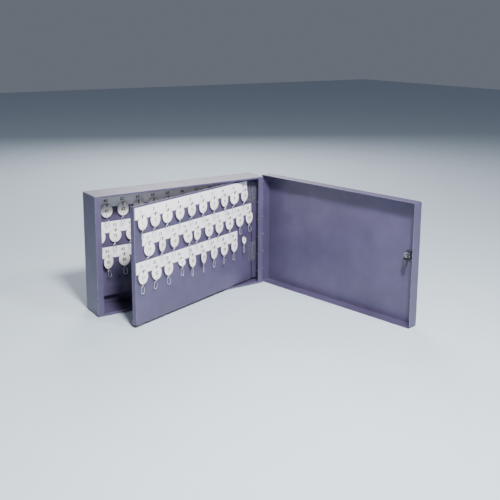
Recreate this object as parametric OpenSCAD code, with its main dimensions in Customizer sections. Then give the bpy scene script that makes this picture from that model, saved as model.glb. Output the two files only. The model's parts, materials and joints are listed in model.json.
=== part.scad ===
// Wall key cabinet: a sheet-steel case with a fixed key plate, a swing-out key panel and a lid-like door.
// The frame's origin is the centre of the case's bottom face. +X is the hinge side, +Y the wall, +Z up.
// The door and the panel are drawn part open, as the cabinet stands on a table.

/* [Case] */
// Outside width of the case
case_w = 412; // [380:1:500]
// Outside height of the case
case_h = 254; // [240:1:320]
// Outside depth of the case, without the door
case_d = 63.5; // [60:0.5:90]
// Thickness of the painted steel sheet
sheet = 1; // [0.8:0.1:1.3]
// Width of the return flange at the front edge of both sides
side_flange_w = 13; // [10:0.5:16]
// Height of the folded lip at the front edge of the top and bottom
front_lip_h = 3; // [2:0.5:4]
// Distance from the case's sides to the wall screw holes
wall_hole_side = 19.5; // [19:0.5:40]
// Distance from the case's top and bottom edges to the wall screw holes
wall_hole_inset = 12; // [10:0.5:13]
// Radius of the wall screw holes
wall_hole_r = 3; // [2:0.25:4]
// Radius of the driver access holes in the key plate
access_hole_r = 5; // [4.5:0.25:5.5]

/* [Key plate] */
// Gap between the case back and the key plate
plate_standoff = 10; // [8:0.5:14]
// Height of the key plate's lower edge above the case bottom
plate_bottom_z = 23; // [18:1:30]
// Gap between the key plate's upper edge and the case top
plate_top_gap = 8; // [6:0.5:10]
// Gap between the key plate's ends and the case sides
plate_side_gap = 5; // [3:0.5:8]
// Height of the key plate's top row of hooks below the case top
plate_row_drop = 32; // [32:0.1:40]
// Distance from the case's left side to the first hook of the key plate's top row
plate_first_hook = 45.6; // [44:0.1:50]

/* [Hooks, tags and labels] */
// Distance between neighbouring hooks in a row
hook_pitch = 36.3; // [34:0.1:37]
// Distance between rows of hooks
row_pitch = 55.6; // [50:0.1:60]
// Radius of the hook wire
hook_r = 0.9; // [0.7:0.05:1.1]
// How far a hook stands out from its plate
hook_reach = 8; // [7:0.25:9]
// Height of a hook's tip above its shank
hook_rise = 5; // [4:0.25:6]
// Inside radius of the hook's bend
hook_bend_r = 2; // [1.5:0.1:2.5]
// Width of a key tag
tag_w = 27; // [22:0.5:30]
// Height of a key tag
tag_h = 30; // [28:0.5:34]
// Thickness of a key tag
tag_t = 0.8; // [0.6:0.1:1]
// Radius of the hole that a tag hangs by
tag_hole_r = 2.2; // [1.8:0.1:2.6]
// Distance from a tag's top edge to its hole's centre
tag_hole_drop = 4.8; // [4:0.1:6]
// Radius of the small ring hole at the foot of a tag
tag_ring_hole_r = 1.1; // [0.8:0.1:1.4]
// Distance from a plate's face to the tags
tag_stand = 2.9; // [2.5:0.1:4]
// Width of the snap that holds a key below its tag
snap_w = 9; // [7:0.5:11]
// Length of the snap below the tag
snap_len = 20; // [16:0.5:22]
// Thickness of the snap's wire
snap_t = 1; // [0.8:0.1:1.2]
// Height of the numbered label strips
label_h = 24; // [20:0.5:26]
// Height of a label strip's top edge above its hooks
label_rise = 19; // [17:0.5:23]
// Thickness of a label strip
label_t = 0.3; // [0.2:0.05:0.4]
// Length of a label strip past its first and last hooks
label_end = 15; // [12:0.5:15]
// Hooks at the hinge end that the panel's lowest front strip leaves bare
bare_hooks = 1; // [0:1:3]

/* [Swing panel] */
// Gap between the swing panel's free edge and the left return flange
panel_free_gap = 7; // [5:0.5:20]
// Depth of the swing panel's front face behind the case front
panel_depth = 25; // [24:0.5:28]
// Depth of the fold along the swing panel's free edge
panel_fold = 10; // [8:0.5:12]
// Gap below the swing panel
panel_bottom_gap = 5.5; // [5:0.5:8]
// Gap above the swing panel
panel_top_gap = 5.3; // [5:0.1:8]
// Height of the panel's top row of hooks below the panel's top edge
panel_row_drop = 23.5; // [22:0.5:30]
// Distance from the panel's free edge to the first hook of its top row
panel_first_hook = 17.5; // [17:0.5:20]
// Angle by which the panel stands open
panel_open = 19; // [0:1:30]

/* [Panel hinges] */
// Distance from the right return flange's edge to the panel's hinge axis
panel_axis_gap = 2; // [1:0.5:4]
// Outside radius of the butt hinge barrels
butt_barrel_r = 2.2; // [2:0.1:2.5]
// Radius of the butt hinge pins
butt_pin_r = 1.1; // [0.9:0.05:1.2]
// Length of a butt hinge
butt_len = 48; // [40:1:48]
// Distance from the case top to the upper butt hinge's middle
butt_upper_drop = 40; // [39:1:49]
// Height of the lower butt hinge's middle
butt_lower_z = 72; // [60:1:80]
// Thickness of the hinge leaves
leaf_t = 0.8; // [0.6:0.05:1]
// Width of a butt hinge's leaf on the panel
butt_leaf_w = 13; // [10:0.5:13]
// Depth of the bracket's leg along the case side
bracket_leg = 15; // [12:0.5:20]

/* [Door] */
// Depth of the door pan
door_d = 25.4; // [24:0.1:32]
// How far the door's flanges reach back over the case
door_overlap = 12; // [10:0.5:14]
// Gap between the door's flanges and the case
door_gap = 1; // [0.8:0.1:1.5]
// Angle by which the door stands open
door_open = 101; // [90:1:120]

/* [Door hinge] */
// Outside radius of the piano hinge's barrel
piano_barrel_r = 2.2; // [2:0.1:2.5]
// Radius of the piano hinge's pin
piano_pin_r = 1.1; // [0.9:0.05:1.2]
// Width of each piano hinge leaf
piano_leaf_w = 12; // [10:0.5:13]
// Knuckles along the piano hinge
piano_knuckles = 20; // [10:2:24]
// Gap from the hinge's ends to the case's top and bottom
piano_end_gap = 4; // [3:0.5:8]

/* [Rivets] */
// Radius of a rivet's shank
rivet_r = 1.5; // [1.2:0.1:1.8]
// Radius of a rivet's head
rivet_head_r = 2.6; // [2.2:0.1:2.8]
// Height of a rivet's head
rivet_head_h = 0.6; // [0.4:0.05:0.6]
// Height of a rivet's closed end
rivet_tail_h = 0.5; // [0.3:0.05:0.5]
// Rivets in each leaf of the piano hinge
piano_rivets = 6; // [3:1:8]

/* [Lock] */
// Distance from the left return flange's edge to the lock's axis, with the door closed
lock_past_flange = 9; // [8.5:0.5:12]
// Height of the lock's axis above the case bottom
lock_z = 142; // [100:1:160]
// Radius of the lock's barrel
lock_r = 7; // [6:0.25:7.5]
// Length of the lock's barrel behind the door sheet
lock_len = 8; // [7:0.25:8.5]
// Width of the lock's front collar, past the barrel
lock_collar_w = 2.5; // [1.5:0.25:4]
// Thickness of the lock's front collar
lock_collar_t = 1.8; // [1:0.1:2.5]
// Radius of the turning plug
plug_r = 4.6; // [4:0.1:5]
// Width of the lock's hexagon nut at its corners, past the barrel
nut_w = 3.4; // [3:0.1:4]
// Thickness of the lock's hexagon nut
nut_t = 2.5; // [2:0.1:3.5]
// Width of the cam
cam_w = 10; // [8:0.5:11]
// Thickness of the cam
cam_t = 1.8; // [1.5:0.1:2]
// Radius of the cam screw's thread
cam_screw_r = 1.5; // [1.2:0.1:1.8]
// Radius of the cam screw's head
cam_screw_head_r = 3.4; // [3:0.1:3.8]
// Height of the cam screw's head
cam_screw_head_h = 2; // [1.5:0.1:2]

/* [Hidden] */
// Clearance around pins, shanks and other round fits
pin_clear = 0.05;
// Gap between pieces that pass each other
move_gap = 0.3;
// Gap between the hook wire and the hole in a label
label_hole_gap = 0.3;
// Cutting margin, so that a cut runs past both faces
cut = 1;
// Gap between the snap's wire and the faces of its tag
snap_gap = 0.3;
// Gap between the cam's tip and what it passes
cam_gap = 0.6;
// Gap from the cam's crank to the return flange's edge
crank_gap = 1.2;
// Smoothness of large and small round shapes
round_fn = 64;
small_fn = 32;

front_y = -case_d / 2;
back_y = case_d / 2;
back_inner_y = back_y - sheet;
side_x = case_w / 2;
side_inner_x = side_x - sheet;
wall_hole_x = side_x - wall_hole_side;
rows = [0, 1, 2];

plate_front_y = back_inner_y - plate_standoff - sheet;
plate_x = side_inner_x - plate_side_gap;
plate_top_z = case_h - plate_top_gap;
plate_hook_x = -side_x + plate_first_hook;
plate_hook_z = case_h - plate_row_drop;

panel_axis_x = side_x - side_flange_w - panel_axis_gap;
panel_front_y = front_y + panel_depth;
panel_axis_y = panel_front_y - butt_barrel_r - pin_clear * 2;
panel_bottom_z = panel_bottom_gap;
panel_top_z = case_h - panel_top_gap;
panel_left_x = panel_free_gap + side_flange_w - side_x;
panel_edge_gap = 0.8;
panel_right_x = panel_axis_x - panel_edge_gap;
panel_hook_x = panel_left_x + panel_first_hook;
panel_hook_z = panel_top_z - panel_row_drop;
hinge_edge_gap = 1;
hook_room = panel_axis_x - panel_hook_x - tag_w / 2 - hinge_edge_gap;
hooks_per_row = floor(hook_room / hook_pitch - 0.5) + 1;
bracket_x = panel_axis_x + panel_edge_gap;
bracket_end_gap = 6;
bracket_rivet_inset = 24;
butt_knuckles = 5;
butt_upper_z = case_h - butt_upper_drop;
butt_rivet_spread = butt_len / 3;
butt_side_gap = 1;
butt_fixed_w = side_inner_x - panel_axis_x - butt_side_gap;
moving_rivet_share = 0.64;
fixed_rivet_share = 0.6;
moving_rivet_x = panel_axis_x - butt_leaf_w * moving_rivet_share;
fixed_rivet_x = panel_axis_x + butt_fixed_w * fixed_rivet_share;

door_side = door_gap + sheet;
door_x = side_x + door_side;
door_edge_y = front_y + door_overlap;
door_face_y = door_edge_y - door_d;
door_inner_y = door_face_y + sheet;
door_bottom_z = -door_side;
door_top_z = case_h + door_side;

hinge_wall_gap = 0.4;
rivet_head_taper = 0.8;
hinge_x = side_x + hinge_wall_gap + piano_barrel_r;
hinge_y = door_edge_y + piano_barrel_r + move_gap;
piano_len = case_h - 2 * piano_end_gap;
piano_pitch = piano_len / piano_knuckles;
piano_leaf_gap = piano_barrel_r + hinge_wall_gap;
piano_rivet_inset = 18;
piano_rivet_step = (piano_len - 2 * piano_rivet_inset) / (piano_rivets - 1);
piano_rivet_stagger = 8;

lock_x = side_flange_w + lock_past_flange - side_x;
lock_collar_r = lock_r + lock_collar_w;
nut_r = lock_r + nut_w;
lock_end_y = door_inner_y + lock_len;
cam_y = lock_end_y + move_gap;
cam_tip_y = front_y + sheet + cam_gap;
cam_end_gap = 1;
cam_reach = side_inner_x + lock_x - cam_end_gap;
cam_crank = lock_past_flange - crank_gap;
cam_screw_len = 6;
plug_slot_w = 1.2;
plug_slot_h = 6;
plug_slot_d = 7;

tag_drop = tag_hole_r - hook_r;
tag_mid_y = tag_stand + tag_t / 2;
tag_foot_z = tag_hole_drop - tag_h - tag_drop;
eye_w = tag_t + 2 * snap_gap + 2 * snap_t;
eye_drop = sqrt(pow(tag_ring_hole_r, 2) - pow(snap_t / 2, 2)) - pin_clear;
eye_top_z = tag_foot_z + tag_hole_drop - eye_drop + snap_t;

steel = "#77748c";
steel_light = "#8d8aa3";
wire = "#9c9a9e";
zinc = "#a9abb2";
paper = "#f1f0ee";
tag_white = "#efe9e4";

// A box between two opposite corners
module box(low, high) {
    translate(low) cube(high - low);
}

// A cylinder along +Y from y = 0
module rod_y(r, length) {
    rotate([-90, 0, 0]) cylinder(r = r, h = length, $fn = small_fn);
}

// A cylinder along +X from x = 0
module rod_x(r, length) {
    rotate([0, 90, 0]) cylinder(r = r, h = length, $fn = small_fn);
}

// Moves what is drawn for a closed door to the open door
module on_door() {
    translate([hinge_x, hinge_y, 0]) rotate([0, 0, door_open]) translate([-hinge_x, -hinge_y, 0]) children();
}

// Moves what is drawn for a closed panel to the open panel
module on_panel() {
    translate([panel_axis_x, panel_axis_y, 0]) rotate([0, 0, panel_open])
        translate([-panel_axis_x, -panel_axis_y, 0]) children();
}

// ---- Hooks, tags, snaps and labels: drawn with their plate's face at y = 0, standing out along -Y ----

// Where hook number i of a row stands; shift is the row's offset in hook pitches
function hook_at(first_x, top_z, row, shift, i) =
    [first_x + (i + (row == 1 ? shift : 0)) * hook_pitch, 0, top_z - row * row_pitch];

module hook() {
    straight = hook_reach - hook_bend_r - hook_r;
    color(wire) {
        rotate([180, 0, 0]) rod_y(hook_r, straight);
        translate([0, -straight, hook_bend_r]) rotate([0, 90, 0]) rotate([0, 0, -90])
            rotate_extrude(angle = 90, $fn = round_fn) translate([hook_bend_r, 0])
                circle(r = hook_r, $fn = small_fn);
        translate([0, -straight - hook_bend_r, hook_bend_r])
            cylinder(r = hook_r, h = hook_rise - hook_bend_r, $fn = small_fn);
    }
}

module hook_row(first_x, top_z, row, shift) {
    for (i = [0 : hooks_per_row - 1]) translate(hook_at(first_x, top_z, row, shift, i)) hook();
}

module hook_grid(first_x, top_z, shift) {
    for (row = rows) hook_row(first_x, top_z, row, shift);
}

// The oval outline of a tag, centred
module tag_outline() {
    r = tag_w / 2;
    rise = (tag_h - tag_w) / 2;
    for (side = [-1, 1]) translate([0, side * rise]) circle(r = r, $fn = round_fn);
    square([tag_w, 2 * rise], center = true);
}

module tag() {
    color(tag_white) translate([0, -tag_stand, tag_foot_z + tag_h / 2]) rotate([90, 0, 0])
        linear_extrude(tag_t) difference() {
            tag_outline();
            translate([0, tag_h / 2 - tag_hole_drop]) circle(r = tag_hole_r, $fn = small_fn);
            translate([0, tag_hole_drop - tag_h / 2]) circle(r = tag_ring_hole_r, $fn = small_fn);
        }
}

module tag_row(first_x, top_z, row, shift) {
    for (i = [0 : hooks_per_row - 1]) translate(hook_at(first_x, top_z, row, shift, i)) tag();
}

// An upright outline with round ends, its lowest point at the origin
module round_bar(width, height) {
    r = width / 2;
    translate([0, r]) circle(r = r, $fn = small_fn);
    translate([-r, r]) square([width, height - width]);
    translate([0, height - r]) circle(r = r, $fn = small_fn);
}

// A flat wire loop in the XZ plane, centred on y = 0, its lowest point at the origin
module wire_loop(width, height) {
    translate([0, snap_t / 2, 0]) rotate([90, 0, 0]) linear_extrude(snap_t) difference() {
        round_bar(width, height);
        translate([0, snap_t]) round_bar(width - 2 * snap_t, height - 2 * snap_t);
    }
}

// A snap: its eye passes through the small hole at the tag's foot, and its long loop hangs below
module snap() {
    eye_foot_z = tag_foot_z - snap_gap - snap_t;
    color(wire) translate([0, -tag_mid_y, 0]) {
        translate([0, 0, eye_foot_z]) rotate([0, 0, 90]) wire_loop(eye_w, eye_top_z - eye_foot_z);
        translate([0, 0, eye_foot_z + snap_t - snap_len]) wire_loop(snap_w, snap_len);
    }
}

module snap_row(first_x, top_z, row, shift) {
    for (i = [0 : hooks_per_row - 1]) translate(hook_at(first_x, top_z, row, shift, i)) snap();
}

// A label strip with a hole for each hook; it stops inside the plate's edges
// and may leave the last hooks bare
module label_row(first_x, top_z, row, shift, low_x, high_x, bare = 0) {
    first = hook_at(first_x, top_z, row, shift, 0);
    last = hook_at(first_x, top_z, row, shift, hooks_per_row - 1 - bare);
    left = max(first[0] - label_end, low_x);
    right = min(last[0] + label_end, high_x);
    color(paper) difference() {
        box([left, -label_t, first[2] + label_rise - label_h], [right, 0, first[2] + label_rise]);
        for (i = [0 : hooks_per_row - 1 - bare])
            translate(hook_at(first_x, top_z, row, shift, i) + [0, -label_t - cut, 0])
                rod_y(hook_r + label_hole_gap, label_t + 2 * cut);
    }
}

// ---- Rivets ----

// A rivet's head or closed end, on z = 0
module rivet_end(height) {
    cylinder(r1 = rivet_head_r, r2 = rivet_head_r * rivet_head_taper, h = height, $fn = small_fn);
}

// A rivet along +X through a stack that starts at x = 0 and is grip thick; its head is outside, at +X
module rivet_x(grip) {
    color(zinc) {
        rod_x(rivet_r, grip);
        translate([grip, 0, 0]) rotate([0, 90, 0]) rivet_end(rivet_head_h);
        rotate([0, -90, 0]) rivet_end(rivet_tail_h);
    }
}

module rivet_hole_x(grip) {
    translate([-cut, 0, 0]) rod_x(rivet_r + pin_clear, grip + 2 * cut);
}

// The same rivet along -Y: its head is in front
module rivet_y(grip) {
    rotate([0, 0, -90]) rivet_x(grip);
}

module rivet_hole_y(grip) {
    rotate([0, 0, -90]) rivet_hole_x(grip);
}

// Where the rivets are. Each list has the point at which a rivet's stack starts.
bracket_rivets_at = [for (z = [bracket_rivet_inset, case_h / 2, case_h - bracket_rivet_inset])
    [side_inner_x - sheet, panel_front_y + sheet + bracket_leg / 2, z]];
piano_case_rivets_at = [for (i = [0 : piano_rivets - 1])
    [side_inner_x, hinge_y + piano_leaf_gap + (piano_leaf_w - piano_leaf_gap) / 2,
     piano_end_gap + piano_rivet_inset + i * piano_rivet_step]];
piano_door_rivets_at = [for (i = [0 : piano_rivets - 1])
    [side_x + door_gap, hinge_y - piano_leaf_gap - (piano_leaf_w - piano_leaf_gap) / 2,
     piano_end_gap + piano_rivet_inset + piano_rivet_stagger + i * piano_rivet_step]];
butt_rivet_zs = [for (z = [butt_upper_z, butt_lower_z], side = [-1, 1]) z + side * butt_rivet_spread];
butt_fixed_rivets_at = [for (z = butt_rivet_zs) [fixed_rivet_x, panel_front_y + sheet, z]];
butt_moving_rivets_at = [for (z = butt_rivet_zs) [moving_rivet_x, panel_front_y + sheet, z]];
butt_rivets_at = concat(butt_fixed_rivets_at, butt_moving_rivets_at);

// ---- Case ----

module case_back() {
    color(steel) difference() {
        box([-side_x, back_inner_y, 0], [side_x, back_y, case_h]);
        for (x = [-1, 1], z = [wall_hole_inset, case_h - wall_hole_inset])
            translate([x * wall_hole_x, back_inner_y - cut, z]) rod_y(wall_hole_r, sheet + 2 * cut);
    }
}

// The top sheet, with its lip folded down at the front between the side flanges
module case_top() {
    lip_x = side_x - side_flange_w - move_gap;
    color(steel_light) {
        box([-side_x, front_y, case_h - sheet], [side_x, back_inner_y, case_h]);
        box([-lip_x, front_y, case_h - sheet - front_lip_h], [lip_x, front_y + sheet, case_h - sheet]);
    }
}

module case_bottom() {
    translate([0, 0, case_h]) mirror([0, 0, 1]) case_top();
}

// One side sheet, with its return flange; drawn on the right
module case_side() {
    color(steel) {
        box([side_inner_x, front_y, sheet], [side_x, back_inner_y, case_h - sheet]);
        box([side_x - side_flange_w, front_y, sheet], [side_inner_x, front_y + sheet, case_h - sheet]);
    }
}

module case_left_side() {
    mirror([1, 0, 0]) case_side();
}

module case_right_side() {
    difference() {
        case_side();
        for (p = concat(bracket_rivets_at, piano_case_rivets_at)) translate(p) rivet_hole_x(2 * sheet);
    }
}

// ---- Fixed key plate on the case back ----

module back_key_plate() {
    color(steel) difference() {
        union() {
            box([-plate_x, plate_front_y, plate_bottom_z], [plate_x, plate_front_y + sheet, plate_top_z]);
            for (side = [-1, 1]) translate([side * (plate_x - sheet / 2), 0, 0])
                box([-sheet / 2, plate_front_y, plate_bottom_z], [sheet / 2, back_inner_y, plate_top_z]);
        }
        for (side = [-1, 1])
            translate([side * wall_hole_x, plate_front_y - cut, case_h - wall_hole_inset])
                rod_y(access_hole_r, sheet + 2 * cut);
    }
}

module on_plate() {
    translate([0, plate_front_y, 0]) children();
}

module back_hooks() {
    on_plate() hook_grid(plate_hook_x, plate_hook_z, -0.5);
}

module back_label(row) {
    on_plate() difference() {
        label_row(plate_hook_x, plate_hook_z, row, -0.5, cut - plate_x, plate_x - cut);
        for (side = [-1, 1]) translate([side * wall_hole_x, -label_t - cut, case_h - wall_hole_inset])
            rod_y(access_hole_r, label_t + 2 * cut);
    }
}

module back_tags(row) {
    on_plate() tag_row(plate_hook_x, plate_hook_z, row, -0.5);
}

module back_snaps(row) {
    on_plate() snap_row(plate_hook_x, plate_hook_z, row, -0.5);
}

module back_label_row_1() { back_label(0); }
module back_label_row_2() { back_label(1); }
module back_label_row_3() { back_label(2); }
module back_tags_row_1() { back_tags(0); }
module back_tags_row_2() { back_tags(1); }
module back_tags_row_3() { back_tags(2); }
module back_snaps_row_1() { back_snaps(0); }
module back_snaps_row_2() { back_snaps(1); }
module back_snaps_row_3() { back_snaps(2); }

// ---- Panel hinges ----

// The angle bracket that carries the swing panel's hinges on the case's right side
module panel_hinge_bracket() {
    low_z = bracket_end_gap;
    high_z = case_h - bracket_end_gap;
    color(steel_light) difference() {
        union() {
            box([bracket_x, panel_front_y, low_z], [side_inner_x, panel_front_y + sheet, high_z]);
            box([side_inner_x - sheet, panel_front_y + sheet, low_z],
                [side_inner_x, panel_front_y + sheet + bracket_leg, high_z]);
        }
        for (p = bracket_rivets_at) translate(p) rivet_hole_x(2 * sheet);
        for (p = butt_fixed_rivets_at) translate(p) rivet_hole_y(sheet + leaf_t);
    }
}

module bracket_rivets() {
    for (p = bracket_rivets_at) translate(p) rivet_x(2 * sheet);
}

// One leaf of a butt hinge about z = mid_z. side is 1 on the bracket and -1 on the panel.
module butt_leaf(mid_z, side, width) {
    pitch = butt_len / butt_knuckles;
    low_z = mid_z - butt_len / 2;
    near = butt_barrel_r + move_gap;
    color(zinc) difference() {
        union() {
            translate([panel_axis_x + side * (near + width) / 2, 0, 0])
                box([(near - width) / 2, panel_front_y - leaf_t, low_z],
                    [(width - near) / 2, panel_front_y, low_z + butt_len]);
            for (i = [0 : butt_knuckles - 1]) if (i % 2 == (side > 0 ? 0 : 1)) {
                knuckle_z = low_z + i * pitch + move_gap / 2;
                translate([panel_axis_x, panel_axis_y, knuckle_z])
                    cylinder(r = butt_barrel_r, h = pitch - move_gap, $fn = small_fn);
                translate([panel_axis_x + side * near / 2, 0, 0])
                    box([-near / 2, panel_front_y - leaf_t, knuckle_z],
                        [near / 2, panel_front_y, knuckle_z + pitch - move_gap]);
            }
        }
        translate([panel_axis_x, panel_axis_y, low_z - cut])
            cylinder(r = butt_pin_r + pin_clear, h = butt_len + 2 * cut, $fn = small_fn);
        for (p = butt_rivets_at) translate(p) rivet_hole_y(sheet + leaf_t);
    }
}

module butt_pin(mid_z) {
    color(zinc) translate([panel_axis_x, panel_axis_y, mid_z - butt_len / 2])
        cylinder(r = butt_pin_r, h = butt_len, $fn = small_fn);
}

module upper_hinge_fixed_leaf() { butt_leaf(butt_upper_z, 1, butt_fixed_w); }
module lower_hinge_fixed_leaf() { butt_leaf(butt_lower_z, 1, butt_fixed_w); }
module upper_hinge_moving_leaf() { on_panel() butt_leaf(butt_upper_z, -1, butt_leaf_w); }
module lower_hinge_moving_leaf() { on_panel() butt_leaf(butt_lower_z, -1, butt_leaf_w); }
module upper_hinge_pin() { butt_pin(butt_upper_z); }
module lower_hinge_pin() { butt_pin(butt_lower_z); }

module hinge_fixed_rivets() {
    for (p = butt_fixed_rivets_at) translate(p) rivet_y(sheet + leaf_t);
}

module hinge_moving_rivets() {
    on_panel() for (p = butt_moving_rivets_at) translate(p) rivet_y(sheet + leaf_t);
}

// ---- Swing panel ----

module swing_panel() {
    color(steel) on_panel() difference() {
        union() {
            box([panel_left_x, panel_front_y, panel_bottom_z],
                [panel_right_x, panel_front_y + sheet, panel_top_z]);
            box([panel_left_x, panel_front_y, panel_bottom_z],
                [panel_left_x + sheet, panel_front_y + panel_fold, panel_top_z]);
        }
        for (p = butt_moving_rivets_at) translate(p) rivet_hole_y(sheet + leaf_t);
    }
}

module on_panel_front() {
    on_panel() translate([0, panel_front_y, 0]) children();
}

// The panel's rear face, mirrored front to back
module on_panel_rear() {
    on_panel() translate([0, panel_front_y + sheet, 0]) mirror([0, 1, 0]) children();
}

module panel_label(row, bare = 0) {
    label_row(panel_hook_x, panel_hook_z, row, 0.5, panel_left_x + cut, panel_right_x - cut, bare);
}

// Behind the panel, the strips stop short of the fold and of the hinge rivets
module panel_rear_label(row) {
    on_panel_rear() label_row(panel_hook_x, panel_hook_z, row, 0.5,
        panel_left_x + sheet + cut, panel_axis_x - butt_leaf_w);
}

module panel_front_hooks() {
    on_panel_front() hook_grid(panel_hook_x, panel_hook_z, 0.5);
}

module panel_rear_hooks() {
    on_panel_rear() hook_grid(panel_hook_x, panel_hook_z, 0.5);
}

module panel_front_label_row_1() { on_panel_front() panel_label(0); }
module panel_front_label_row_2() { on_panel_front() panel_label(1); }
module panel_front_label_row_3() { on_panel_front() panel_label(2, bare_hooks); }
module panel_front_tags_row_1() { on_panel_front() tag_row(panel_hook_x, panel_hook_z, 0, 0.5); }
module panel_front_tags_row_2() { on_panel_front() tag_row(panel_hook_x, panel_hook_z, 1, 0.5); }
module panel_front_tags_row_3() { on_panel_front() tag_row(panel_hook_x, panel_hook_z, 2, 0.5); }
module panel_front_snaps_row_1() { on_panel_front() snap_row(panel_hook_x, panel_hook_z, 0, 0.5); }
module panel_front_snaps_row_2() { on_panel_front() snap_row(panel_hook_x, panel_hook_z, 1, 0.5); }
module panel_front_snaps_row_3() { on_panel_front() snap_row(panel_hook_x, panel_hook_z, 2, 0.5); }
module panel_rear_label_row_1() { panel_rear_label(0); }
module panel_rear_label_row_2() { panel_rear_label(1); }
module panel_rear_label_row_3() { panel_rear_label(2); }

module panel_rear_tags() {
    for (row = rows) on_panel_rear() tag_row(panel_hook_x, panel_hook_z, row, 0.5);
}

module panel_rear_snaps() {
    for (row = rows) on_panel_rear() snap_row(panel_hook_x, panel_hook_z, row, 0.5);
}

// ---- Door and its piano hinge ----

// A shallow pan that closes over the front of the case
module door_pan() {
    color(steel) on_door() difference() {
        box([-door_x, door_face_y, door_bottom_z], [door_x, door_edge_y, door_top_z]);
        box([-door_x + sheet, door_inner_y, door_bottom_z + sheet],
            [door_x - sheet, door_edge_y + cut, door_top_z - sheet]);
        for (p = piano_door_rivets_at) translate(p) rivet_hole_x(sheet);
        translate([lock_x, door_face_y - cut, lock_z]) rod_y(lock_r + pin_clear, sheet + 2 * cut);
    }
}

// The hinge's knuckles of one leaf, counted from the bottom; first is 0 or 1
module piano_knuckle_set(first) {
    for (i = [first : 2 : piano_knuckles - 1])
        translate([hinge_x, hinge_y, piano_end_gap + i * piano_pitch + move_gap / 2])
            cylinder(r = piano_barrel_r, h = piano_pitch - move_gap, $fn = small_fn);
}

// A strip of leaf beside each knuckle of one leaf
module piano_tabs(first, low_x, high_x, low_y, high_y) {
    for (i = [first : 2 : piano_knuckles - 1]) {
        low_z = piano_end_gap + i * piano_pitch + move_gap / 2;
        box([low_x, low_y, low_z], [high_x, high_y, low_z + piano_pitch - move_gap]);
    }
}

module piano_bore() {
    translate([hinge_x, hinge_y, piano_end_gap - cut])
        cylinder(r = piano_pin_r + pin_clear, h = piano_len + 2 * cut, $fn = small_fn);
}

module piano_hinge_case_leaf() {
    high_x = side_x + leaf_t;
    color(steel_light) difference() {
        union() {
            box([side_x, hinge_y + piano_leaf_gap, piano_end_gap],
                [high_x, hinge_y + piano_leaf_w, piano_end_gap + piano_len]);
            piano_tabs(0, side_x, high_x, hinge_y, hinge_y + piano_leaf_gap);
            piano_knuckle_set(0);
        }
        piano_bore();
        for (p = piano_case_rivets_at) translate(p) rivet_hole_x(sheet + leaf_t);
    }
}

module piano_hinge_door_leaf() {
    high_x = door_x + leaf_t;
    color(steel_light) on_door() difference() {
        union() {
            box([door_x, hinge_y - piano_leaf_w, piano_end_gap],
                [high_x, hinge_y - piano_leaf_gap, piano_end_gap + piano_len]);
            piano_tabs(1, door_x, high_x, hinge_y - piano_leaf_gap, hinge_y - piano_pin_r - 2 * pin_clear);
            piano_knuckle_set(1);
        }
        piano_bore();
        for (p = piano_door_rivets_at) translate(p) rivet_hole_x(sheet + leaf_t);
    }
}

module piano_hinge_pin() {
    color(zinc) translate([hinge_x, hinge_y, piano_end_gap])
        cylinder(r = piano_pin_r, h = piano_len, $fn = small_fn);
}

module piano_hinge_case_rivets() {
    for (p = piano_case_rivets_at) translate(p) rivet_x(sheet + leaf_t);
}

module piano_hinge_door_rivets() {
    on_door() for (p = piano_door_rivets_at) translate(p) rivet_x(sheet + leaf_t);
}

// ---- Lock: drawn on the closed door, cam down, as it is when unlocked ----

module at_lock(y) {
    on_door() translate([lock_x, y, lock_z]) children();
}

module lock_barrel() {
    color(zinc) at_lock(door_face_y) difference() {
        union() {
            rod_y(lock_r, sheet + lock_len);
            translate([0, -lock_collar_t, 0]) rod_y(lock_collar_r, lock_collar_t);
        }
        translate([0, -lock_collar_t - cut, 0])
            rod_y(plug_r + pin_clear, lock_collar_t + sheet + lock_len + 2 * cut);
    }
}

module lock_nut() {
    color(zinc) at_lock(door_inner_y) difference() {
        rotate([-90, 0, 0]) cylinder(r = nut_r, h = nut_t, $fn = 6);
        translate([0, -cut, 0]) rod_y(lock_r + pin_clear, nut_t + 2 * cut);
    }
}

module lock_plug() {
    length = cam_y - door_face_y + lock_collar_t;
    color(zinc) at_lock(door_face_y - lock_collar_t) difference() {
        rod_y(plug_r, length);
        box([-plug_slot_w / 2, -cut, -plug_slot_h / 2], [plug_slot_w / 2, plug_slot_d, plug_slot_h / 2]);
        translate([0, length - cam_screw_len, 0]) rod_y(cam_screw_r + pin_clear, cam_screw_len + cut);
    }
}

// A cranked cam: it steps back from the barrel's end to a tip that turns in behind the return flange
module lock_cam() {
    step = cam_tip_y - cam_y;
    color(zinc) at_lock(cam_y) difference() {
        union() {
            rod_y(cam_w / 2, cam_t);
            box([-cam_w / 2, 0, -cam_crank], [cam_w / 2, cam_t, 0]);
            box([-cam_w / 2, 0, -cam_crank], [cam_w / 2, step + cam_t, cam_t - cam_crank]);
            box([-cam_w / 2, step, -cam_reach], [cam_w / 2, step + cam_t, cam_t - cam_crank]);
        }
        translate([0, -cut, 0]) rod_y(cam_screw_r + pin_clear, cam_t + 2 * cut);
    }
}

module cam_screw() {
    head_y = cam_screw_len + cam_t - pin_clear;
    color(zinc) at_lock(cam_y - cam_screw_len + pin_clear) difference() {
        union() {
            rod_y(cam_screw_r, head_y);
            translate([0, head_y, 0]) rod_y(cam_screw_head_r, cam_screw_head_h);
        }
        translate([-cam_screw_head_r - cut, head_y + cam_screw_head_h / 2, -plug_slot_w / 2])
            cube([2 * (cam_screw_head_r + cut), cam_screw_head_h, plug_slot_w]);
    }
}

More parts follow.
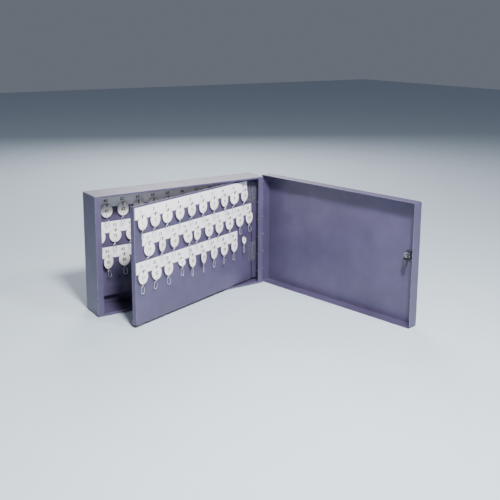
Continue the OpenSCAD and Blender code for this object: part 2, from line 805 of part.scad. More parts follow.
case_back();
case_top();
case_bottom();
case_left_side();
case_right_side();
back_key_plate();
back_hooks();
back_label_row_1();
back_label_row_2();
back_label_row_3();
back_tags_row_1();
back_tags_row_2();
back_tags_row_3();
back_snaps_row_1();
back_snaps_row_2();
back_snaps_row_3();
panel_hinge_bracket();
bracket_rivets();
upper_hinge_fixed_leaf();
lower_hinge_fixed_leaf();
upper_hinge_pin();
lower_hinge_pin();
hinge_fixed_rivets();
piano_hinge_case_leaf();
piano_hinge_pin();
piano_hinge_case_rivets();
swing_panel();
panel_front_hooks();
panel_front_label_row_1();
panel_front_label_row_2();
panel_front_label_row_3();
panel_front_tags_row_1();
panel_front_tags_row_2();
panel_front_tags_row_3();
panel_front_snaps_row_1();
panel_front_snaps_row_2();
panel_front_snaps_row_3();
panel_rear_hooks();
panel_rear_label_row_1();
panel_rear_label_row_2();
panel_rear_label_row_3();
panel_rear_tags();
panel_rear_snaps();
upper_hinge_moving_leaf();
lower_hinge_moving_leaf();
hinge_moving_rivets();
door_pan();
piano_hinge_door_leaf();
piano_hinge_door_rivets();
lock_barrel();
lock_nut();
lock_plug();
lock_cam();
cam_screw();
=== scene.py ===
"""An open wall key cabinet: enamelled sheets, hooks, labels, tags, snaps, hinges and lock."""

import json
import math
import random

import bmesh
import bpy
from mathutils import Euler, Matrix, Vector


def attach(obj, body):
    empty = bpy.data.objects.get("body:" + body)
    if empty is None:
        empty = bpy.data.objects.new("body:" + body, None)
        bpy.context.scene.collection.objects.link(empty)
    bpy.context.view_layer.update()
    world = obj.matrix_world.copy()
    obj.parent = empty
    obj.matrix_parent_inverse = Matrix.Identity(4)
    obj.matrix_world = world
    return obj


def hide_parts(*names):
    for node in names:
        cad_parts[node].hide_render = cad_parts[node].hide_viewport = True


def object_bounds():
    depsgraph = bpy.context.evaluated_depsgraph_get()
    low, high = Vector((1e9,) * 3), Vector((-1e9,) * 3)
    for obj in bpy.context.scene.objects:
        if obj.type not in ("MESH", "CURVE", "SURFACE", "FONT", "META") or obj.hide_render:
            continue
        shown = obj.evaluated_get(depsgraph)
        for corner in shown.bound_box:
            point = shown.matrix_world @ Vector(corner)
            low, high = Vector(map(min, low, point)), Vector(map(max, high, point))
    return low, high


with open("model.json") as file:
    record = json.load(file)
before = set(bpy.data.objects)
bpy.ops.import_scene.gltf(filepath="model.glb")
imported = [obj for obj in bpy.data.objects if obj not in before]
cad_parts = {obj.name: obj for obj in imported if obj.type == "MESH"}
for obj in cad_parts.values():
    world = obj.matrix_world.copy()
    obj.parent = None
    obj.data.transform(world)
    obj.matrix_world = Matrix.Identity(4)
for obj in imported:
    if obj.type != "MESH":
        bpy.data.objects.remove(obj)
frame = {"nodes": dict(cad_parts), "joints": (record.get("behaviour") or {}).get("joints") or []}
CAD_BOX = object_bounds()

MM = 0.001
ROWS = 3
MERGE = 1e-6
TOUCH = 0.02 * MM
FLAT_ANGLE = math.radians(1)
SMOOTH_ANGLE = math.radians(40)
UPRIGHT = Matrix.Rotation(math.pi / 2, 4, "X")


# ---- Where the closed bodies stand ----


def swung(joint_name):
    """The turn that takes a body from its closed place to where it stands at rest."""
    joint = next(j for j in frame["joints"] if j["name"] == joint_name)
    pivot = Vector(joint["pos_m"])
    turn = Matrix.Rotation(math.radians(-joint["range_deg"][0]), 4, Vector(joint["axis"]))
    return Matrix.Translation(pivot) @ turn @ Matrix.Translation(-pivot)


PLACE = {"case": Matrix.Identity(4), "panel": swung("panel_hinge"), "door": swung("door_hinge")}
PLACE["lock"] = PLACE["door"]


def closed_copy(node, body):
    """A merged copy of a CAD node's mesh, turned to its closed place."""
    bm = bmesh.new()
    bm.from_mesh(frame["nodes"][node].data)
    bmesh.ops.transform(bm, matrix=PLACE[body].inverted(), verts=bm.verts)
    bmesh.ops.remove_doubles(bm, verts=bm.verts, dist=MERGE)
    return bm


def box_of(verts):
    """The lowest and highest corner of some vertices."""
    low = Vector(min(v.co[i] for v in verts) for i in range(3))
    high = Vector(max(v.co[i] for v in verts) for i in range(3))
    return low, high


def closed_box(node, body):
    """A CAD node's box in its closed place."""
    bm = closed_copy(node, body)
    box = box_of(bm.verts)
    bm.free()
    return box


def loose_boxes(node, body):
    """Each loose piece's box, for a CAD node in its closed place, from the top left."""
    bm = closed_copy(node, body)
    waiting = set(bm.verts)
    boxes = []
    while waiting:
        group = {waiting.pop()}
        edge_of_group = list(group)
        while edge_of_group:
            vert = edge_of_group.pop()
            for edge in vert.link_edges:
                other = edge.other_vert(vert)
                if other not in group:
                    group.add(other)
                    edge_of_group.append(other)
        waiting -= group
        boxes.append(box_of(group))
    bm.free()
    return sorted(boxes, key=lambda b: (-round(b[0].z, 3), b[0].x))


# ---- Node expressions ----


class Field:
    """A socket in a node tree, so that maths on it reads as an expression."""

    def __init__(self, graph, socket):
        self.graph = graph
        self.socket = socket

    def math(self, operation, *others):
        return self.graph.add("ShaderNodeMath", {"operation": operation}, [self, *others])

    def __add__(self, other):
        return self.math("ADD", other)

    def __sub__(self, other):
        return self.math("SUBTRACT", other)

    def __mul__(self, other):
        return self.math("MULTIPLY", other)

    def __truediv__(self, other):
        return self.math("DIVIDE", other)

    def __pow__(self, other):
        return self.math("POWER", other)

    def __rsub__(self, other):
        return self.graph.add("ShaderNodeMath", {"operation": "SUBTRACT"}, [other, self])

    def __neg__(self):
        return self * -1

    __radd__ = __add__

    def least(self, other):
        return self.math("MINIMUM", other)

    def most(self, other):
        return self.math("MAXIMUM", other)

    def step(self, low, high):
        """0 below low, 1 above high, smooth between."""
        ends = {"Value": self, "From Min": low, "From Max": high}
        return self.graph.add("ShaderNodeMapRange", {"interpolation_type": "SMOOTHSTEP"}, ends)


class Graph:
    """A node tree that nodes are added to, one call each."""

    def __init__(self, tree):
        self.tree = tree

    def add(self, kind, settings=None, values=(), output=0):
        """Adds a node: its settings first, then the values or links of its sockets."""
        node = self.tree.nodes.new(kind)
        for name, value in (settings or {}).items():
            setattr(node, name, value)
        pairs = values.items() if isinstance(values, dict) else enumerate(values)
        for key, value in pairs:
            if isinstance(value, Field):
                self.tree.links.new(value.socket, node.inputs[key])
            elif value is not None:
                node.inputs[key].default_value = value
        return Field(self, node.outputs[output])


def srgb(red, green, blue):
    """A display colour, 0 to 255 a channel, as a linear colour."""

    def linear(value):
        value /= 255
        return value / 12.92 if value <= 0.04045 else ((value + 0.055) / 1.055) ** 2.4

    return (linear(red), linear(green), linear(blue), 1.0)


# ---- Finishes ----


class Finish(Graph):
    """A material under construction, on the surface's own coordinates."""

    def __init__(self, name, body=None):
        self.material = bpy.data.materials.new(name)
        self.material.use_nodes = True
        super().__init__(self.material.node_tree)
        self.shader = self.tree.nodes["Principled BSDF"]
        place = self.add("ShaderNodeTexCoord", {}, (), "Object")
        if body:
            back = PLACE[body].inverted()
            values = [place, back.to_translation(), back.to_euler()]
            place = self.add("ShaderNodeMapping", {}, values)
        self.place = place

    def noise(self, scale, detail, roughness, stretch=None):
        """Noise with scale bumps a metre, 0 to 1; stretch squeezes or draws it along each axis."""
        place = self.place
        if stretch:
            place = self.add("ShaderNodeVectorMath", {"operation": "MULTIPLY"}, [place, stretch])
        values = {"Vector": place, "Scale": scale, "Detail": detail, "Roughness": roughness}
        return self.add("ShaderNodeTexNoise", {}, values, "Fac")

    def mix(self, factor, first, second):
        """A colour that goes from first to second with factor."""
        settings = {"data_type": "RGBA"}
        return self.add("ShaderNodeMix", settings, {0: factor, 6: first, 7: second}, 2)

    def bump(self, height, distance, strength):
        values = {"Height": height, "Distance": distance, "Strength": strength}
        return self.add("ShaderNodeBump", {}, values)

    def finish(self, **sockets):
        """Sets the shader's sockets by name, with underscores for spaces."""
        for name, value in sockets.items():
            socket = self.shader.inputs[name.replace("_", " ").title() if name != "ior" else "IOR"]
            if isinstance(value, Field):
                self.tree.links.new(value.socket, socket)
            else:
                socket.default_value = value
        return self.material


def edge_mask(finish, low, high, width):
    """1 along the outer edges of a box, fading over width."""
    axes = [finish.add("ShaderNodeSeparateXYZ", {}, [finish.place], i) for i in range(3)]
    near = [1 - (a - l).least(h - a).step(0.0, width) for a, l, h in zip(axes, low, high)]
    return (near[0] * near[1]).most(near[1] * near[2]).most(near[0] * near[2])


# Colours
ENAMEL_DEEP = srgb(68, 62, 88)
ENAMEL_PLAIN = srgb(77, 70, 99)
# Paler enamel for the outer edges: worn paint and a painted highlight
ENAMEL_EDGE_WEAR_HIGHLIGHT = srgb(126, 120, 146)
ENAMEL_DUST = srgb(98, 92, 116)
CARD_WHITE = srgb(241, 239, 244)
CARD_STAINED = srgb(225, 221, 224)
CARD_GRIMY = srgb(188, 184, 186)
BOARD_WHITE = srgb(250, 247, 247)
BOARD_WARM = srgb(240, 229, 224)
BOARD_MOTTLED = srgb(208, 199, 198)
# Painted shadow colour for the rings along the tags' rims and round their eyelets
BOARD_SCUFFED = srgb(150, 141, 142)
BOARD_RIM_SHADOW = srgb(104, 92, 102)
INK_DARK = srgb(46, 44, 54)
INK_PALE = srgb(150, 146, 152)
FLOOR_COOL = srgb(188, 202, 213)
FLOOR_PALE = srgb(195, 208, 219)

# How many features each noise has in a metre
CLOUDS, DUST_PATCHES, RUBS, EDGE_CHIPS, ORANGE_PEEL, SPECKS = 14, 35, 60, 260, 620, 1500
CARD_STAINS, CARD_GRIME, CARD_FIBRES = 32, 140, 900
BOARD_MOTTLE, BOARD_SCUFFS = 230, 420
INK_GAPS = 1300
TARNISH_PATCHES = 160
FLOOR_MOTTLE, FLOOR_GRAIN = 9, 240

# How deep each surface's bumps are
ENAMEL_RELIEF = 0.035 * MM
CARD_RELIEF = 0.03 * MM
BOARD_RELIEF = 0.04 * MM
METAL_RELIEF = 0.012 * MM

ROLLED = (1, 1, 0.08)
EDGE_WEAR_HIGHLIGHT_W = 1.6 * MM
# Where the painted shadow rings on a tag start and end: along its rim as a share of its half size,
# and round its eyelet in mm
RIM_SHADOW_BAND = (0.91, 0.96)
EYELET_SHADOW_BAND = (2.5, 3.0)


def enamel(name, body, nodes):
    """Satin grey enamel: cloudy colour, orange peel, fine rubs, and paler outer edges that are
    partly wear and partly a painted highlight.
    """
    finish = Finish(name, body)
    boxes = [closed_box(n, body) for n in nodes]
    low = [min(b[0][i] for b in boxes) for i in range(3)]
    high = [max(b[1][i] for b in boxes) for i in range(3)]
    clouds = finish.noise(CLOUDS, detail=4.0, roughness=0.55)
    specks = finish.noise(SPECKS, detail=2.0, roughness=0.6)
    peel = finish.noise(ORANGE_PEEL, detail=2.0, roughness=0.45)
    rubs = finish.noise(RUBS, detail=6.0, roughness=0.7, stretch=(0.25, 0.25, 7.0)).step(0.60, 0.72)
    chips = finish.noise(EDGE_CHIPS, detail=4.0, roughness=0.7).step(0.38, 0.62)
    # Paler outer edges, broken up by chips: partly wear, partly a painted highlight along the rims
    edges = edge_mask(finish, low, high, EDGE_WEAR_HIGHLIGHT_W) * chips
    dust = finish.noise(DUST_PATCHES, detail=5.0, roughness=0.65).step(0.45, 0.85)
    colour = finish.mix(clouds.step(0.3, 0.7), ENAMEL_DEEP, ENAMEL_PLAIN)
    colour = finish.mix(dust * 0.22 + rubs * 0.10, colour, ENAMEL_DUST)
    colour = finish.mix(specks.step(0.62, 0.78) * 0.25, colour, ENAMEL_DEEP)
    colour = finish.mix(edges * 0.75, colour, ENAMEL_EDGE_WEAR_HIGHLIGHT)
    gloss = 0.40 + specks * 0.10 + dust * 0.10 - rubs * 0.06
    bump = finish.bump(peel + specks * 0.25 - rubs * 0.15, ENAMEL_RELIEF, strength=0.55)
    return finish.finish(base_color=colour, roughness=gloss, normal=bump, coat_weight=0.12)


def card(name, body):
    """Matt white card with fibres, faint stains and a little grime."""
    finish = Finish(name, body)
    fibres = finish.noise(CARD_FIBRES, detail=5.0, roughness=0.75, stretch=(1.0, 1.0, 2.6))
    stains = finish.noise(CARD_STAINS, detail=4.0, roughness=0.6).step(0.48, 0.80)
    grime = finish.noise(CARD_GRIME, detail=5.0, roughness=0.7).step(0.55, 0.85)
    colour = finish.mix(stains * 0.35, CARD_WHITE, CARD_STAINED)
    colour = finish.mix(grime * 0.22, colour, CARD_GRIMY)
    bump = finish.bump(fibres, CARD_RELIEF, strength=0.5)
    return finish.finish(base_color=colour, roughness=0.78 + fibres * 0.16, normal=bump)


def tag_board():
    """Warm white fibre board with painted shadow rings along its rim and round its eyelet; each tag
    has its own tint and grime.
    """
    finish = Finish("tag_board")
    shade = finish.add("ShaderNodeAttribute", {"attribute_name": "shade"}, (), "Fac")
    spot = finish.add("ShaderNodeAttribute", {"attribute_name": "spot"}, (), "Vector")
    across, _, up = [finish.add("ShaderNodeSeparateXYZ", {}, [spot], i) for i in range(3)]
    rise = up + (TAG_H / 2 - TAG_HOLE_DROP) / MM
    reach = ((across / (TAG_W / 2 / MM)) ** 2 + (rise / (TAG_H / 2 / MM)) ** 2) ** 0.5
    # Painted shadow: a dark ring along the rim and round the hanging hole, standing in for the
    # tag's shadow and the shade in the hole
    rim = reach.step(*RIM_SHADOW_BAND)
    eyelet_shadow = 1 - ((across ** 2 + up ** 2) ** 0.5).step(*EYELET_SHADOW_BAND)
    mottle = finish.noise(BOARD_MOTTLE, detail=5.0, roughness=0.65)
    scuffs = finish.noise(BOARD_SCUFFS, detail=6.0, roughness=0.75, stretch=(1.0, 1.0, 0.3))
    scuffs = scuffs.step(0.60, 0.76)
    colour = finish.mix(shade, BOARD_WHITE, BOARD_WARM)
    colour = finish.mix(mottle.step(0.52, 0.80) * 0.25, colour, BOARD_MOTTLED)
    colour = finish.mix(scuffs * 0.20, colour, BOARD_SCUFFED)
    # The painted shadow rings darken the board
    colour = finish.mix(rim.most(eyelet_shadow) * 0.72, colour, BOARD_RIM_SHADOW)
    bump = finish.bump(mottle + scuffs * 0.4, BOARD_RELIEF, strength=0.5)
    return finish.finish(base_color=colour, roughness=0.50 + mottle * 0.22, normal=bump)


def ink(name, strength):
    """Printed figures, a little starved where the card's grain shows."""
    finish = Finish(name)
    starved = finish.noise(INK_GAPS, detail=4.0, roughness=0.7).step(0.50, 0.72)
    colour = finish.mix(starved * (1 - strength) + 0.04, INK_DARK, INK_PALE)
    return finish.finish(base_color=colour, roughness=0.62 + starved * 0.2)


def metal(
    name, dark, light, polish, stretch=(1.0, 1.0, 1.0), grain=900.0, tarnish=0.3, metallic=1.0
):
    """Drawn, plated or polished metal: grain along its working, tarnish in patches."""
    finish = Finish(name)
    lines = finish.noise(grain, detail=4.0, roughness=0.6, stretch=stretch)
    patches = finish.noise(TARNISH_PATCHES, detail=4.0, roughness=0.65).step(0.42, 0.75)
    colour = finish.mix(lines.step(0.3, 0.7), dark, light)
    colour = finish.mix(patches * tarnish, colour, dark)
    roughness = polish + lines * 0.12 + patches * tarnish * 0.35
    bump = finish.bump(lines, METAL_RELIEF, strength=0.6)
    return finish.finish(base_color=colour, metallic=metallic, roughness=roughness, normal=bump)


def studio_floor():
    """Pale, faintly mottled paper sweep."""
    finish = Finish("studio_floor")
    mottle = finish.noise(FLOOR_MOTTLE, detail=3.0, roughness=0.5)
    grain = finish.noise(FLOOR_GRAIN, detail=3.0, roughness=0.6)
    colour = finish.mix(mottle, FLOOR_COOL, FLOOR_PALE)
    return finish.finish(base_color=colour, roughness=0.65 + grain * 0.1)


CASE_SHEETS = ["case_back", "case_top", "case_bottom", "case_left_side", "case_right_side"]
ENAMEL = {
    "case": enamel("grey_enamel_case", "case", CASE_SHEETS),
    "panel": enamel("grey_enamel_panel", "panel", ["swing_panel"]),
    "door": enamel("grey_enamel_door", "door", ["door_pan"]),
}
CARD = {body: card(f"label_card_{body}", body) for body in ("case", "panel")}
LABEL_INK = ink("label_ink", strength=0.75)
TAG_INK = ink("tag_ink", strength=0.35)
HOOK_WIRE = metal(
    "hook_wire", srgb(34, 31, 38), srgb(66, 62, 70), polish=0.40, grain=700.0, tarnish=0.45
)
SNAP_WIRE = metal("snap_wire", srgb(186, 184, 196), srgb(240, 239, 246), polish=0.30, tarnish=0.25)
ZINC = metal(
    "zinc_plate", srgb(132, 131, 140), srgb(186, 186, 192), polish=0.34, stretch=ROLLED, tarnish=0.4
)
BUTT_ZINC = metal(
    "butt_zinc", srgb(84, 81, 98), srgb(112, 108, 128), polish=0.48, tarnish=0.4, metallic=0.45
)
CAM_STEEL = metal(
    "cam_steel", srgb(74, 72, 78), srgb(112, 110, 118), polish=0.38, grain=700.0, tarnish=0.4
)
LOCK_CHROME = metal(
    "lock_chrome", srgb(150, 151, 158), srgb(214, 215, 220), polish=0.09, grain=500.0, tarnish=0.15
)


# ---- Making pieces ----


def linked(name, data):
    """An object that holds some data, in the scene."""
    holder = bpy.data.objects.new(name, data)
    bpy.context.scene.collection.objects.link(holder)
    return holder


def new_piece(name, mesh, body, materials, nodes=()):
    """A piece in its place at rest, riding on its body and standing for its CAD nodes."""
    piece = linked(name, mesh)
    if materials:
        mesh.materials.clear()
        for material in materials:
            mesh.materials.append(material)
    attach(piece, body)
    if nodes:
        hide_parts(*nodes)
    return piece


def mesh_from(bm, name):
    """A mesh datablock from a bmesh, which is freed."""
    mesh = bpy.data.meshes.new(name)
    bm.to_mesh(mesh)
    bm.free()
    return mesh


def weighted(mesh):
    """The mesh with smooth shading whose flat faces stay flat."""
    mesh.shade_smooth()
    mesh.set_sharp_from_angle(angle=SMOOTH_ANGLE)
    holder = linked("holder", mesh)
    modifier = holder.modifiers.new("flat_faces", "WEIGHTED_NORMAL")
    modifier.keep_sharp = True
    result = baked(holder)
    result.name = mesh.name
    return result


def baked(holder):
    """The plain mesh that an object's modifiers make; the object is removed."""
    graph = bpy.context.evaluated_depsgraph_get()
    mesh = bpy.data.meshes.new_from_object(holder.evaluated_get(graph), depsgraph=graph)
    holder.modifiers.clear()
    bpy.data.objects.remove(holder)
    return mesh


SHARP = math.radians(25)
RIM_ANGLE = math.radians(50)
FOLD_STEPS = 4
SHEET_RIM = 0.18 * MM
BEVEL = {"profile": 0.5, "affect": "EDGES"}


def is_convex(edge):
    """True for an edge between two faces that turn away from each other."""
    is_shared = len(edge.link_faces) == 2 and edge.is_manifold
    return is_shared and edge.calc_face_angle_signed(0.0) > SHARP


def rounded(node, body, rim=SHEET_RIM, fold=0.0, is_fold=None, rim_steps=2):
    """A copy of a CAD node whose folds and sharp edges are rounded as pressed sheet is."""
    bm = closed_copy(node, body)
    bmesh.ops.dissolve_limit(bm, angle_limit=FLAT_ANGLE, verts=bm.verts, edges=bm.edges)
    if is_fold:
        folds = [e for e in bm.edges if is_convex(e) and is_fold(*(v.co for v in e.verts))]
        bmesh.ops.bevel(bm, geom=folds, offset=fold, segments=FOLD_STEPS, **BEVEL)
    sharp = [e for e in bm.edges if is_convex(e) and e.calc_face_angle(0.0) > RIM_ANGLE]
    bmesh.ops.bevel(bm, geom=sharp, offset=rim, segments=rim_steps, clamp_overlap=True, **BEVEL)
    bmesh.ops.transform(bm, matrix=PLACE[body], verts=bm.verts)
    return weighted(mesh_from(bm, node))


def sheet_piece(name, node, body, material, slot="grey_enamel", **shape):
    """A piece that is its CAD node with rounded edges."""
    return new_piece(name, rounded(node, body, **shape), body, [material], [node])


# ---- Sheets ----

CASE_LOW = closed_box("case_left_side", "case")[0]
CASE_HIGH = closed_box("case_right_side", "case")[1]
CASE_LOW.z = closed_box("case_bottom", "case")[0].z
CASE_HIGH.z = closed_box("case_top", "case")[1].z
FOLD_R = 1.0 * MM


def runs_along(first, second, axis):
    """True if an edge runs along one axis."""
    return all(abs(first[i] - second[i]) < TOUCH for i in range(3) if i != axis)


def fold_on(axis, **planes):
    """A test for the edges that run along an axis through the named planes."""

    def test(first, second):
        spots = {"x": 0, "y": 1, "z": 2}
        on_planes = all(abs(first[spots[k]] - v) < TOUCH for k, v in planes.items())
        return runs_along(first, second, axis) and on_planes

    return test


def build_case():
    """The case's five sheets and its key plate."""
    front = CASE_LOW.y
    grey = ENAMEL["case"]
    sheet_piece("case_back_sheet", "case_back", "case", grey)
    top_fold = fold_on(0, y=front, z=CASE_HIGH.z)
    bottom_fold = fold_on(0, y=front, z=CASE_LOW.z)
    sheet_piece("case_top_sheet", "case_top", "case", grey, fold=FOLD_R, is_fold=top_fold)
    sheet_piece("case_bottom_sheet", "case_bottom", "case", grey, fold=FOLD_R, is_fold=bottom_fold)
    for side, x in (("left", CASE_LOW.x), ("right", CASE_HIGH.x)):
        side_fold = fold_on(2, x=x, y=front)
        node = f"case_{side}_side"
        sheet_piece(f"{node}_sheet", node, "case", grey, fold=FOLD_R, is_fold=side_fold)
    low, high = closed_box("back_key_plate", "case")

    def plate_fold(first, second):
        at_end = min(abs(first.x - low.x), abs(first.x - high.x)) < TOUCH
        return at_end and runs_along(first, second, 2) and abs(first.y - low.y) < TOUCH

    sheet_piece("key_plate_sheet", "back_key_plate", "case", grey, fold=FOLD_R, is_fold=plate_fold)
    node = "panel_hinge_bracket"
    low, high = closed_box(node, "case")
    fold = fold_on(2, x=high.x, y=low.y)
    sheet_piece("hinge_bracket_angle", node, "case", grey, fold=FOLD_R, is_fold=fold)


def build_panel():
    """The swing panel, with its free edge folded back."""
    low, _ = closed_box("swing_panel", "panel")
    edge_fold = fold_on(2, x=low.x, y=low.y)
    grey = ENAMEL["panel"]
    sheet_piece("swing_panel_sheet", "swing_panel", "panel", grey, fold=FOLD_R, is_fold=edge_fold)


DOOR_FOLD_R = 1.8 * MM
DOOR_CORNER_R = 3.2 * MM
DOOR_RIM_R = 0.2 * MM
DOOR_RIM_ANGLE = math.radians(60)
DOOR_SHEET = 1.0 * MM
CORNER_STEPS, DOOR_FOLD_STEPS = 6, 5
CUTTER_LENGTH = 60 * MM
CUTTER_SIDES = 48
FACES_FRONT = -0.9


def build_door():
    """The door: a pan pressed from one sheet, with soft outer corners."""
    low, high = closed_box("door_pan", "door")
    bm = bmesh.new()
    bmesh.ops.create_cube(bm, size=1.0)
    size = Matrix.Diagonal((*(high - low), 1.0))
    bmesh.ops.transform(bm, matrix=Matrix.Translation((low + high) / 2) @ size, verts=bm.verts)
    mouth = [f for f in bm.faces if abs(f.calc_center_median().y - high.y) < TOUCH]
    bmesh.ops.delete(bm, geom=mouth, context="FACES")
    shared = [e for e in bm.edges if len(e.link_faces) == 2]
    corners = [e for e in shared if runs_along(*(v.co for v in e.verts), 1)]
    bmesh.ops.bevel(bm, geom=corners, offset=DOOR_CORNER_R, segments=CORNER_STEPS, **BEVEL)
    fronts = [f for f in bm.faces if f.normal.y < FACES_FRONT]
    folds = list(max(fronts, key=lambda f: f.calc_area()).edges)
    bmesh.ops.bevel(bm, geom=folds, offset=DOOR_FOLD_R, segments=DOOR_FOLD_STEPS, **BEVEL)
    mesh = mesh_from(bm, "door_pan_sheet")
    holder = linked("door_holder", mesh)
    wall = holder.modifiers.new("sheet", "SOLIDIFY")
    wall.thickness = DOOR_SHEET
    wall.offset = -1.0
    wall.use_even_offset = True
    rim = holder.modifiers.new("rim", "BEVEL")
    rim.width = DOOR_RIM_R
    rim.segments = 2
    rim.angle_limit = DOOR_RIM_ANGLE
    hole = lock_hole_cutter()
    cut = holder.modifiers.new("lock_hole", "BOOLEAN")
    cut.object = hole
    cut.operation = "DIFFERENCE"
    mesh = baked(holder)
    bpy.data.objects.remove(hole)
    mesh.transform(PLACE["door"])
    mesh = weighted(mesh)
    new_piece("door_pan_sheet", mesh, "door", [ENAMEL["door"]], ["door_pan"])


def lock_axis():
    """Where the lock's axis crosses the closed door, and the barrel's radius."""
    low, high = closed_box("lock_barrel", "door")
    middle = (low + high) / 2
    nut_low, _ = closed_box("lock_nut", "door")
    bm = closed_copy("lock_barrel", "door")
    radius = max(v.co.z - middle.z for v in bm.verts if v.co.y > nut_low.y + MM)
    bm.free()
    return middle, radius


def lock_hole_cutter():
    """A rod through the door where the lock's barrel passes."""
    middle, radius = lock_axis()
    bm = bmesh.new()
    size = {"segments": CUTTER_SIDES, "radius1": radius, "radius2": radius, "depth": CUTTER_LENGTH}
    bmesh.ops.create_cone(bm, cap_ends=True, matrix=Matrix.Translation(middle) @ UPRIGHT, **size)
    return linked("lock_hole_cutter", mesh_from(bm, "lock_hole_cutter"))


# ---- Repeated pieces, by node trees ----

FILLET_STEPS = 4


class Tree(Graph):
    """A geometry node tree with named inputs."""

    def __init__(self, name, sizes):
        tree = bpy.data.node_groups.new(name, "GeometryNodeTree")
        super().__init__(tree)
        tree.interface.new_socket("Geometry", in_out="INPUT", socket_type="NodeSocketGeometry")
        self.keys = {}
        for label, kind in sizes.items():
            socket = tree.interface.new_socket(label, in_out="INPUT", socket_type=kind)
            self.keys[label] = socket.identifier
        tree.interface.new_socket("Geometry", in_out="OUTPUT", socket_type="NodeSocketGeometry")
        self.entry = tree.nodes.new("NodeGroupInput")

    def size(self, label):
        return Field(self, self.entry.outputs[label])

    def point(self, x=0.0, y=0.0, z=0.0):
        return self.add("ShaderNodeCombineXYZ", {}, [x, y, z])

    def matches(self, index, number):
        """True on the point with this number only."""
        settings = {"data_type": "INT", "operation": "EQUAL"}
        return self.add("FunctionNodeCompare", settings, {2: index, 3: number})

    def wire(self, points, bends, radii, wire_radius, sides):
        """A round wire along some points, its corners filleted and its ends drawn in."""
        line = self.add("GeometryNodeMeshLine", {}, {"Count": len(points)})
        index = self.add("GeometryNodeInputIndex")
        for number, point in enumerate(points):
            values = {"Geometry": line, "Selection": self.matches(index, number), "Position": point}
            line = self.add("GeometryNodeSetPosition", {}, values)
        curve = self.add("GeometryNodeMeshToCurve", {}, [line])
        for number, radius in enumerate(radii):
            values = {"Curve": curve, "Selection": self.matches(index, number), "Radius": radius}
            curve = self.add("GeometryNodeSetCurveRadius", {}, values)
        bend = bends[-1]
        for number, value in enumerate(bends[:-1]):
            values = {"Switch": self.matches(index, number), "False": bend, "True": value}
            bend = self.add("GeometryNodeSwitch", {"input_type": "FLOAT"}, values)
        values = {"Curve": curve, "Count": FILLET_STEPS, "Radius": bend, "Limit Radius": True}
        curve = self.add("GeometryNodeFilletCurve", {"mode": "POLY"}, values)
        settings = {"mode": "RADIUS"}
        ring = self.add("GeometryNodeCurvePrimitiveCircle", settings, {"Resolution": sides})
        values = {"Geometry": ring, "Scale": self.point_of(wire_radius)}
        ring = self.add("GeometryNodeTransform", {}, values)
        thickness = self.add("GeometryNodeInputRadius")
        values = {"Curve": curve, "Profile Curve": ring, "Scale": thickness, "Fill Caps": True}
        mesh = self.add("GeometryNodeCurveToMesh", {}, values)
        return self.add("GeometryNodeSetShadeSmooth", {}, [mesh])

    def point_of(self, value):
        """A vector with the same value on every axis."""
        return self.point(value, value, value)

    def spread(self, shape, material_label):
        """The shape on every point, turned by the point's facing, as one plain mesh."""
        settings = {"data_type": "FLOAT_VECTOR"}
        facing = self.add("GeometryNodeInputNamedAttribute", settings, {"Name": "facing"})
        size = self.add("GeometryNodeInputNamedAttribute", {"data_type": "FLOAT"}, {"Name": "size"})
        turn = self.add("FunctionNodeEulerToRotation", {}, [facing])
        spots = self.size("Geometry")
        values = {"Points": spots, "Instance": shape, "Rotation": turn, "Scale": size}
        copies = self.add("GeometryNodeInstanceOnPoints", {}, values)
        plain = self.add("GeometryNodeRealizeInstances", {}, [copies])
        values = {"Geometry": plain, "Material": self.size(material_label)}
        painted = self.add("GeometryNodeSetMaterial", {}, values)
        exit_node = self.tree.nodes.new("NodeGroupOutput")
        self.tree.links.new(painted.socket, exit_node.inputs[0])
        return self

    def grow(self, name, points, sizes, place):
        """The mesh that the tree makes on points, each (place, facing, shade, size)."""
        mesh = bpy.data.meshes.new(name)
        mesh.from_pydata([p[0] for p in points], [], [])
        for label, kind in (("facing", "FLOAT_VECTOR"), ("shade", "FLOAT"), ("size", "FLOAT")):
            mesh.attributes.new(label, kind, "POINT")
        mesh.attributes["facing"].data.foreach_set("vector", [a for p in points for a in p[1]])
        mesh.attributes["shade"].data.foreach_set("value", [p[2] for p in points])
        mesh.attributes["size"].data.foreach_set("value", [p[3] for p in points])
        holder = linked(name, mesh)
        modifier = holder.modifiers.new(name, "NODES")
        modifier.node_group = self.tree
        for label, value in sizes.items():
            modifier[self.keys[label]] = value
        result = baked(holder)
        result.transform(place)
        return result


FLOAT = "NodeSocketFloat"
MATERIAL = "NodeSocketMaterial"
OBJECT = "NodeSocketObject"

HOOK_SIDES = 10
SNAP_SIDES = 8
# In wire radii: (distance out from the plate, thickness) and (distance below the tip, thickness)
HOOK_FOOT = ((0.0, 1.7), (-0.7, 1.45), (-1.1, 1.0))
HOOK_TIP = ((1.0, 1.0), (0.35, 0.78), (0.0, 0.15))
SNAP_ENDS = (0.6, 0.7)


def hook_tree():
    """A wire hook: a shank out from the plate, a bend and an upright with a rounded tip."""
    labels = {
        "Wire radius": FLOAT, "Reach": FLOAT, "Rise": FLOAT, "Bend": FLOAT, "Finish": MATERIAL,
    }
    tree = Tree("wire_hooks", labels)
    wire, reach, rise, bend = (tree.size(k) for k in ("Wire radius", "Reach", "Rise", "Bend"))
    out = wire - reach
    points = [tree.point(y=wire * along) for along, _ in HOOK_FOOT]
    points.append(tree.point(y=out))
    points += [tree.point(y=out, z=rise - wire * below) for below, _ in HOOK_TIP]
    bends = [0.0] * len(HOOK_FOOT) + [bend] + [0.0] * len(HOOK_TIP)
    radii = [r for _, r in HOOK_FOOT] + [1.0] + [r for _, r in HOOK_TIP]
    return tree.spread(tree.wire(points, bends, radii, wire, HOOK_SIDES), "Finish")


